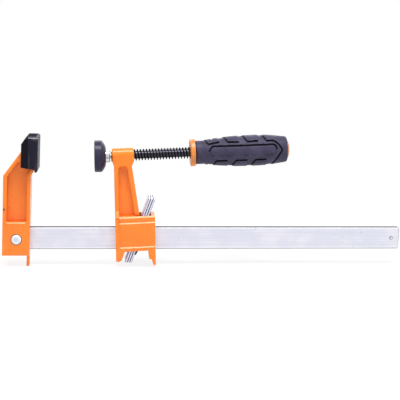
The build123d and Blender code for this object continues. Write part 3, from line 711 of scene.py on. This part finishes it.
def mould_cap(name, colours, gloss, roof_rough):
    """Black plastic with a colour and a gloss of its own for each part of the cap."""
    moulded, nodes, links, shader = start_finish(name)
    shader.inputs["Specular IOR Level"].default_value = 0.05
    shader.inputs["Coat Roughness"].default_value = 0.20
    tone = place_group(
        nodes, tone_group, {"Clean": colours["clean"], "Handled": colours["handled"], "Scale": 90.0}
    )
    grain = place_group(nodes, grain_group, {"Scale": 2600.0, "Detail": 2.0})
    clamping = place_group(nodes, facing_group, {"Axis": (1.0, 0.0, 0.0), "Low": 0.90, "High": 0.99})
    upward = place_group(nodes, facing_group, {"Axis": (0.0, 0.0, 1.0), "Low": 0.90, "High": 0.99})
    # Seams and steps are painted darker as shade.
    seam_shade_mask = place_group(nodes, cavity_shade_group, {"Reach": seam_shade_reach, "Clear": 0.90, "Filled": 0.60})
    behind = place_group(nodes, distance_group, {"Weights": (1.0, 0.0, 0.0)})
    plate = step_mask(
        nodes, links, behind.outputs["Distance"], plate_depth - plate_fade, plate_depth + plate_fade
    )
    # The sleeve behind the clamping plate takes its own colour, painted darker as shade on the fixed pad.
    skin = blend_between(nodes, links, "RGBA", plate, colours["sleeve"], tone.outputs["Color"])
    # The painted seam shade goes on here.
    seam_shaded = blend_between(nodes, links, "RGBA", seam_shade_mask.outputs["Mask"], skin, colours["seam_shade"])
    # Up-facing faces take the roof colour, painted darker as shade on the fixed pad.
    roof_shaded = blend_between(nodes, links, "RGBA", upward.outputs["Mask"], seam_shaded, colours["roof"])
    links.new(roof_shaded, shader.inputs["Base Color"])
    rough = blend_between(nodes, links, "FLOAT", tone.outputs["Mask"], 0.50, 0.42)
    vary_roughness(nodes, links, shader, upward.outputs["Mask"], rough, roof_rough)
    shine = blend_between(nodes, links, "FLOAT", plate, gloss["sleeve"], gloss["skin"])
    shine = blend_between(nodes, links, "FLOAT", clamping.outputs["Mask"], shine, gloss["worked"])
    polished = blend_between(nodes, links, "FLOAT", plate, gloss["sleeve"], gloss["edge"])
    for side in (-1.0, 1.0):
        slant = (0.0, side * math.sqrt(0.5), math.sqrt(0.5))
        edge = place_group(nodes, facing_group, {"Axis": slant, "Low": 0.80, "High": 0.95})
        shine = blend_between(nodes, links, "FLOAT", edge.outputs["Mask"], shine, polished)
    shine = blend_between(nodes, links, "FLOAT", upward.outputs["Mask"], shine, gloss["roof"])
    links.new(shine, shader.inputs["Coat Weight"])
    add_bump(nodes, links, shader, grain.outputs["Height"], 0.10, erosion_depth)
    return moulded


# The colour painted into seams and steps as shade.
seam_shade_black = (0.001, 0.001, 0.003, 1.0)
pad_colours = {
    "clean": (0.0065, 0.0065, 0.018, 1.0),
    "handled": (0.011, 0.0105, 0.025, 1.0),
    # The sleeve is painted darker than the plate as shade.
    "sleeve": (0.0025, 0.002, 0.007, 1.0),
    # The roof is painted darker as shade.
    "roof": (0.0035, 0.003, 0.010, 1.0),
    "seam_shade": seam_shade_black,
}
pad_gloss = {"skin": 0.28, "sleeve": 0.14, "edge": 0.85, "worked": 0.20, "roof": 0.0}
cap_clean = (0.0215, 0.0195, 0.045, 1.0)
cap_colours = {
    "clean": cap_clean,
    "handled": (0.027, 0.0245, 0.052, 1.0),
    "sleeve": cap_clean,
    "roof": cap_clean,
    "seam_shade": seam_shade_black,
}
cap_gloss = {"skin": 0.35, "sleeve": 0.35, "edge": 0.35, "worked": 0.6, "roof": 0.35}
fixed_black = mould_cap("fixed_pad_black", pad_colours, pad_gloss, 0.90)
swivel_black = mould_cap("swivel_cap_black", cap_colours, cap_gloss, 0.46)
dress(swivel_black, "pad_cap")
print(fixed_black.name, "is kept for the stepped pad")

# %% [markdown]
# ## Orange core and soft grip of the handle
#
# The handle is moulded in two shots: a hard orange core that shows as the collar
# and the butt, and a charcoal rubber grip over it. The core is smooth and a
# little translucent, so its colour is lighter than the enamel. The rubber has a
# dry, fine grain and turns paler where it catches the light at a low angle,
# which the sheen of the shader gives. The grooves of its tread are painted black as shade.

# %% Mould the handle
core_clean = (0.61, 0.203, 0.037, 1.0)
core_handled = (0.55, 0.171, 0.030, 1.0)
rubber_clean = (0.036, 0.031, 0.061, 1.0)
rubber_handled = (0.052, 0.0445, 0.084, 1.0)
# The colour painted into the tread's grooves as shade.
rubber_groove_shade = (0.003, 0.0025, 0.006, 1.0)
groove_shade_reach = 3.2 * mm
core_grain_depth = 0.03 * mm
rubber_grain_depth = 0.06 * mm

core, nodes, links, shader = start_finish("orange_core_plastic")
tone = place_group(nodes, tone_group, {"Clean": core_clean, "Handled": core_handled, "Scale": 120.0})
grain = place_group(nodes, grain_group, {"Scale": 1500.0, "Detail": 2.0})
links.new(tone.outputs["Color"], shader.inputs["Base Color"])
vary_roughness(nodes, links, shader, tone.outputs["Mask"], 0.32, 0.42)
add_bump(nodes, links, shader, grain.outputs["Height"], 0.10, core_grain_depth)
dress(core, "handle_core")

rubber, nodes, links, shader = start_finish("grip_rubber_skin")
shader.inputs["Specular IOR Level"].default_value = 0.16
shader.inputs["Sheen Weight"].default_value = 0.04
shader.inputs["Sheen Roughness"].default_value = 0.45
tone = place_group(nodes, tone_group, {"Clean": rubber_clean, "Handled": rubber_handled, "Scale": 70.0})
grain = place_group(nodes, grain_group, {"Scale": 2200.0, "Detail": 3.0})
# The grooves of the tread are painted black as shade.
groove_shade = place_group(nodes, cavity_shade_group, {"Reach": groove_shade_reach, "Clear": 0.94, "Filled": 0.68})
groove_shaded = blend_between(
    nodes, links, "RGBA", groove_shade.outputs["Mask"], tone.outputs["Color"], rubber_groove_shade
)
links.new(groove_shaded, shader.inputs["Base Color"])
vary_roughness(nodes, links, shader, tone.outputs["Mask"], 0.56, 0.48)
add_bump(nodes, links, shader, grain.outputs["Height"], 0.30, rubber_grain_depth)
print(rubber.name, "is kept for the lugged grip")

# %% [markdown]
# ## The threaded screw
#
# The solid of the screw is a plain rod as wide as the thread's crests, which is
# all that the collision needs. The real screw has a strong trapezoidal thread.
# A thread could be made with a Screw modifier, but the spin operator does it in
# one step: the outline of one tooth is turned round the axis and moved on a
# little with each step, and the teeth are welded where one turn meets the next.
# The lead comes from the coupling of the screw's turn and its travel.

# %% Measure the screw
screw_joint = joints["screw_turn"]
ball_middle = Vector(screw_joint["pos_m"])
screw_ahead = -Vector(screw_joint["axis"]).normalized()
to_back = Vector((0.0, 1.0, 0.0))
screw_over = screw_ahead.cross(to_back)
screw_space = Matrix((screw_ahead, to_back, screw_over)).transposed().to_4x4()
screw_space = Matrix.Translation(ball_middle) @ screw_space
couplings = {pair["joint"]: pair for pair in frame["record"]["behaviour"]["couplings"]}
thread_lead = 2.0 * math.pi / couplings["screw_turn"]["ratio"]


def points_along_screw(name):
    """The corners of a node as (place along the screw, distance from its axis)."""
    inward = screw_space.inverted()
    local = [inward @ corner.co for corner in frame["nodes"][name].data.vertices]
    return [(point.x, math.hypot(point.y, point.z)) for point in local]


full_share = 0.95
end_reach = 0.1 * mm
rod = points_along_screw("screw")
crest_radius = max(radius for place, radius in rod)
thread_start = min(place for place, radius in rod)
thread_end = max(place for place, radius in rod if radius > full_share * crest_radius)
bore_radius = min(radius for place, radius in rod if place < thread_start + end_reach)
thread_length = thread_end - thread_start
print("thread lead", round(thread_lead / mm, 2), "mm over", round(thread_length / mm, 1), "mm")

# %% Turn the thread
depth_share = 0.60
crest_share = 0.33
flank_share = 0.12
steps_per_turn = 48
weld_reach = 0.002 * mm

builder = bmesh.new()
root_radius = crest_radius - depth_share * thread_lead
turns = math.ceil(thread_length / thread_lead) + 2
root_share = 1.0 - crest_share - 2.0 * flank_share
tooth_shares = (0.0, root_share, root_share + flank_share, 1.0 - flank_share, 1.0)
tooth_radii = (root_radius, root_radius, crest_radius, crest_radius, root_radius)
first_place = thread_start - thread_lead
outline = []
for share, radius in zip(tooth_shares, tooth_radii):
    outline.append(builder.verts.new((first_place + share * thread_lead, 0.0, radius)))
runs = [builder.edges.new(pair) for pair in zip(outline, outline[1:])]
bmesh.ops.spin(
    builder,
    geom=outline + runs,
    cent=(0.0, 0.0, 0.0),
    axis=(1.0, 0.0, 0.0),
    dvec=(thread_lead / steps_per_turn, 0.0, 0.0),
    angle=2.0 * math.pi * turns,
    steps=steps_per_turn * turns,
    use_duplicate=False,
)
bmesh.ops.remove_doubles(builder, verts=builder.verts, dist=weld_reach)
print("thread of", turns, "turns has", len(builder.faces), "faces")

# %% Trim the screw and bore its end
rim_reach = 0.001 * mm
bore_depth = 11.5 * mm


def slice_faces(builder, faces, place, across, clear=False):
    """Cuts faces along a plane, and can clear away what lies on the side that the plane looks to."""
    chosen = set(faces)
    parts = builder.verts[:] + builder.edges[:]
    borders = [part for part in parts if not chosen.isdisjoint(part.link_faces)]
    bmesh.ops.bisect_plane(
        builder, geom=borders + faces, plane_co=place, plane_no=across, clear_outer=clear
    )


def trim_end(builder, place, outwards):
    """Cuts the screw square at a place along it and returns the edges of the open end."""
    slice_faces(builder, builder.faces[:], (place, 0.0, 0.0), (outwards, 0.0, 0.0), clear=True)
    return [
        edge for edge in builder.edges if all(abs(end.co.x - place) < rim_reach for end in edge.verts)
    ]


def draw_in(builder, rim, radius, depth):
    """Extrudes an open end to a ring of a given radius, moved along the screw; returns its edges."""
    made = bmesh.ops.extrude_edge_only(builder, edges=rim)["geom"]
    ring = [part for part in made if isinstance(part, bmesh.types.BMVert)]
    for corner in ring:
        across = Vector((0.0, corner.co.y, corner.co.z)).normalized() * radius
        corner.co = Vector((corner.co.x + depth, across.y, across.z))
    edges = [part for part in made if isinstance(part, bmesh.types.BMEdge)]
    return [edge for edge in edges if all(corner in ring for corner in edge.verts)]


front_rim = trim_end(builder, thread_start, -1.0)
mouth = draw_in(builder, front_rim, bore_radius, 0.0)
bore_end = draw_in(builder, mouth, bore_radius, bore_depth)
bmesh.ops.edgeloop_fill(builder, edges=bore_end)
back_rim = trim_end(builder, thread_end, 1.0)
bmesh.ops.edgeloop_fill(builder, edges=back_rim)
bmesh.ops.remove_doubles(builder, verts=builder.verts, dist=rim_reach)
bmesh.ops.recalc_face_normals(builder, faces=builder.faces)
bmesh.ops.transform(builder, matrix=screw_space, verts=builder.verts)
print("trimmed screw has", len(builder.faces), "faces")

# %% [markdown]
# ## Black oxide on the screw and the spring
#
# The screw and the leaf spring are blackened steel. On the screw the crests stay
# black, while the floor of the thread and the lower flanks are rubbed by the nut
# and hold oil, so they are greyer and throw sharp glints. The distance from the
# screw's axis tells the two apart, and it is the same however the screw turns.

# %% Blacken the screw and the spring
oxide_dark = (0.002, 0.002, 0.003, 1.0)
oxide_worn = (0.008, 0.008, 0.011, 1.0)
oiled_root = (0.056, 0.053, 0.067, 1.0)
oxide_grazing = (0.25, 0.25, 0.27, 1.0)
rubbed_share = 0.62
oxide_depth = 0.02 * mm

blackened, nodes, links, shader = start_finish("black_oxide")
shader.inputs["Metallic"].default_value = 1.0
shader.inputs["Coat Weight"].default_value = 0.06
shader.inputs["Coat Roughness"].default_value = 0.12
shader.inputs["Specular Tint"].default_value = oxide_grazing
streaks = place_group(nodes, streak_group, {"Stretch": (1.0, 0.3, 0.3), "Scale": 1100.0})
where = nodes.new("ShaderNodeTexCoord")
from_ball = nodes.new("ShaderNodeVectorMath")
from_ball.operation = "SUBTRACT"
from_ball.inputs[1].default_value = ball_middle
around = nodes.new("ShaderNodeVectorMath")
around.operation = "CROSS_PRODUCT"
around.inputs[1].default_value = screw_ahead
outwards = nodes.new("ShaderNodeVectorMath")
outwards.operation = "LENGTH"
links.new(where.outputs["Object"], from_ball.inputs[0])
links.new(from_ball.outputs["Vector"], around.inputs[0])
links.new(around.outputs["Vector"], outwards.inputs[0])
rubbed_radius = root_radius + rubbed_share * (crest_radius - root_radius)
rubbed = step_mask(
    nodes, links, outwards.outputs["Value"], rubbed_radius - soft_edge, rubbed_radius + soft_edge
)
worn = blend_between(nodes, links, "RGBA", streaks.outputs["Tone"], oxide_dark, oxide_worn)
oiled = blend_between(nodes, links, "RGBA", rubbed, worn, oiled_root)
links.new(oiled, shader.inputs["Base Color"])
vary_roughness(nodes, links, shader, streaks.outputs["Tone"], 0.16, 0.10)
add_bump(nodes, links, shader, streaks.outputs["Height"], 0.06, oxide_depth)
print(blackened.name, "is rubbed up to", round(rubbed_radius / mm, 2), "mm from the axis")

# %% Hand the screw to its body
crease_angle = math.radians(35.0)


def hand_over(builder, name, finish):
    """A finished piece from a bmesh: smooth faces with sharp creases, at the origin."""
    mesh = bpy.data.meshes.new(name)
    builder.to_mesh(mesh)
    builder.free()
    mesh.polygons.foreach_set("use_smooth", [True] * len(mesh.polygons))
    mesh.set_sharp_from_angle(angle=crease_angle)
    mesh.materials.append(finish)
    piece = bpy.data.objects.new(name, mesh)
    bpy.context.scene.collection.objects.link(piece)
    print(name, "has", len(mesh.polygons), "faces")
    return piece


threaded_screw = hand_over(builder, "threaded_screw", blackened)
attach(threaded_screw, "spindle")
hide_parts("screw")

# %% [markdown]
# ## The leaf spring
#
# A thin leaf of blackened spring steel lies under the bar, and its bent tip pushes
# the plates over. When the plates tilt, the leaf gives way at its bend. The piece
# is a welded copy of the solid, cut finer along its length.

# %% Slice the leaf spring
def welded_copy(name):
    """A bmesh of a CAD node with its loose triangles joined."""
    builder = bmesh.new()
    builder.from_mesh(frame["nodes"][name].data)
    bmesh.ops.remove_doubles(builder, verts=builder.verts, dist=weld_reach)
    return builder


flat_angle = math.radians(0.5)
spring_slices = 16
spring_low, spring_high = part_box("clutch_spring")
builder = welded_copy("clutch_spring")
bmesh.ops.dissolve_limit(builder, angle_limit=flat_angle, verts=builder.verts, edges=builder.edges)
for number in range(1, spring_slices):
    place = spring_low.lerp(spring_high, number / spring_slices)
    slice_faces(builder, builder.faces[:], place, (1.0, 0.0, 0.0))
leaf_spring = hand_over(builder, "leaf_spring", blackened)
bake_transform(leaf_spring)
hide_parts("clutch_spring")

# %% [markdown]
# ## The stepped pad of the fixed jaw
#
# The slip-on pad is a sleeve with a thicker plate moulded on its clamping side, and
# the plate stands a little proud of the sleeve. A welded copy of the pad's solid is
# sliced twice across, just behind the plate, and the sleeve behind the slices is
# drawn in from both sides, which leaves a small step at the back of the plate.
# The long upper edges are softly rounded. They are sliced lengthwise, and every
# corner of the mesh that lies outside the round is drawn back onto it.

# %% Step the fixed pad
lip_thickness = 7.2 * mm
lip_slope = 0.5 * mm
lip_proud = 1.0 * mm

pad_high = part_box("fixed_pad")[1]
sleeve_from = pad_high.x - lip_thickness - lip_slope
sleeve_share = 1.0 - lip_proud / pad_high.y
builder = welded_copy("fixed_pad")
for place in (sleeve_from + lip_slope, sleeve_from):
    slice_faces(builder, builder.faces[:], (place, 0.0, 0.0), (1.0, 0.0, 0.0))
sleeve = [corner for corner in builder.verts if corner.co.x < sleeve_from + 0.5 * lip_slope]
bmesh.ops.scale(builder, vec=(1.0, sleeve_share, 1.0), verts=sleeve)
print("sleeve of", len(sleeve), "corners drawn in by", round(lip_proud / mm, 1), "mm")

# %% Round the pad's upper edges
edge_round = 6.0 * mm
round_steps = 5
half_corner = math.radians(45.0)

round_side = pad_high.y - edge_round
round_height = pad_high.z - edge_round
for step in range(round_steps):
    reach = edge_round * math.tan(half_corner * step / round_steps)
    for side in (-1.0, 1.0):
        slice_faces(builder, builder.faces[:], (0.0, side * (round_side + reach), 0.0), (0.0, 1.0, 0.0))
    slice_faces(builder, builder.faces[:], (0.0, 0.0, round_height + reach), (0.0, 0.0, 1.0))
for corner in builder.verts:
    out = Vector((abs(corner.co.y) - round_side, corner.co.z - round_height))
    if min(out) > 0.0 and out.length > edge_round:
        out *= edge_round / out.length
        corner.co.y = math.copysign(round_side + out.x, corner.co.y)
        corner.co.z = round_height + out.y
stepped_pad = hand_over(builder, "stepped_pad", fixed_black)
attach(stepped_pad, "frame")
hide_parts("fixed_pad")

# %% [markdown]
# ## The tread of the grip
#
# The lugs of the grip's tread stand proud over its crown and its belly, so the
# outline of the handle is notched between one lug and the next. A welded copy of
# the grip is sliced across at both ends of each gap, and the skin between the
# slices sinks towards the axis. The sinking is deepest along the crown or the
# belly and fades to nothing on the way round, so the sides keep their shape.

# %% Sink the gaps of the tread
gap_width = 6.8 * mm
gap_depth = 0.95 * mm
gap_wall = 0.4 * mm
gap_spread = math.radians(36.0)
bore_limit = 12.0 * mm
# For the crown (1) and the belly (-1): the first gap's place, the pitch and the count.
gap_rows = {1.0: (25.2 * mm, 22.9 * mm, 3), -1.0: (13.6 * mm, 22.2 * mm, 4)}

builder = welded_copy("handle_grip")
bmesh.ops.transform(builder, matrix=screw_space.inverted(), verts=builder.verts)
grip_front = min(corner.co.x for corner in builder.verts)
gaps = []
for side, (first_gap, gap_pitch, gap_count) in gap_rows.items():
    for number in range(gap_count):
        gaps.append((side, grip_front + first_gap + number * gap_pitch))
for side, gap_start in gaps:
    gap_end = gap_start + gap_width
    for place in (gap_start, gap_start + gap_wall, gap_end - gap_wall, gap_end):
        half = [face for face in builder.faces if side * face.calc_center_median().z > 0.0]
        slice_faces(builder, half, (place, 0.0, 0.0), (1.0, 0.0, 0.0))
sunk = 0
for corner in builder.verts:
    out = Vector((corner.co.y, corner.co.z))
    for side, gap_start in gaps:
        turned = math.atan2(abs(out.x), side * out.y)
        inside = min(corner.co.x - gap_start, gap_start + gap_width - corner.co.x)
        if out.length > bore_limit and inside > 0.5 * gap_wall and turned < gap_spread:
            fade = math.cos(0.5 * math.pi * turned / gap_spread) ** 2
            out *= 1.0 - gap_depth * fade / out.length
            corner.co = Vector((corner.co.x, out.x, out.y))
            sunk += 1
bmesh.ops.transform(builder, matrix=screw_space, verts=builder.verts)
print(len(gaps), "gaps of the tread sink", sunk, "corner_shade")
lugged_grip = hand_over(builder, "lugged_grip", rubber)
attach(lugged_grip, "spindle")
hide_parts("handle_grip")
